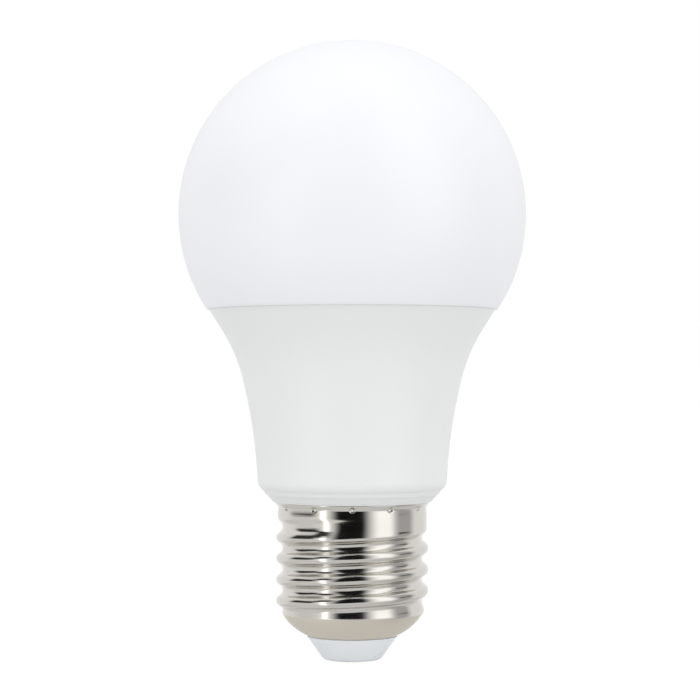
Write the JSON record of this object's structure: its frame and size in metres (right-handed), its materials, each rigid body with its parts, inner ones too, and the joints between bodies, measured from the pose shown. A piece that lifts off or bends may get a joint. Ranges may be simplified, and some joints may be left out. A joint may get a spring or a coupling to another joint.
{
  "type": "led bulb",
  "caption": "Lamp with a frosted globe on a flared white body, a bright screw cap with a rounded thread, and a white insulator tip.",
  "frame": {"origin": "tip of the centre contact, on the lamp's axis", "axes": "+Z along the lamp's axis from the cap to the globe; -Y is the side that the picture shows"},
  "size_m": [0.06, 0.06, 0.107],
  "materials": {
    "frosted_cover": "smooth satin, milky polycarbonate",
    "silicone": "soft matt",
    "white_body": "smooth satin moulded plastic",
    "aluminium_sheet": "drawn, satin",
    "white_board": "white solder mask",
    "light_chip": "glossy",
    "steel": "bright plated",
    "white_nylon": "satin",
    "black_nylon": "satin",
    "tinned_brass": "tinned, bright",
    "board_green": "coated laminate",
    "capacitor_sleeve": "shrunk sleeve, glossy",
    "ferrite": "sintered, matt",
    "enamelled_copper": "enamelled wire",
    "resistor_coat": "lacquered",
    "capacitor_box": "glossy box",
    "chip_body": "moulded epoxy",
    "ceramic": "sintered",
    "wire_sleeve": "smooth",
    "tinned_copper": "tinned",
    "nickel_plate": "bright nickel plate, satin shoulder",
    "insulator_white": "smooth moulded plastic",
    "contact_metal": "nickel plated"
  },
  "bodies": {
    "root": {"diffuser": "frosted_cover", "diffuser_adhesive": "silicone", "housing": "white_body", "heat_sink_cup": "aluminium_sheet", "led_board": "white_board", "led_chips": "light_chip", "board_screws": "steel", "light_socket": "white_nylon", "header_block": "black_nylon", "header_pins": "tinned_brass", "driver_board": "board_green", "bulk_capacitor": "capacitor_sleeve", "output_capacitor": "capacitor_sleeve", "choke_core": "ferrite", "choke_bobbin": "black_nylon", "choke_winding": "enamelled_copper", "fuse_resistor": "resistor_coat", "film_capacitor": "capacitor_box", "bridge_rectifier": "chip_body", "driver_chip": "chip_body", "output_diode": "chip_body", "chip_resistors": "chip_body", "chip_capacitors": "ceramic", "live_lead": "wire_sleeve", "neutral_lead": "tinned_copper", "screw_cap": "nickel_plate", "insulator": "insulator_white", "centre_contact": "contact_metal"}
  },
  "joints": []
}
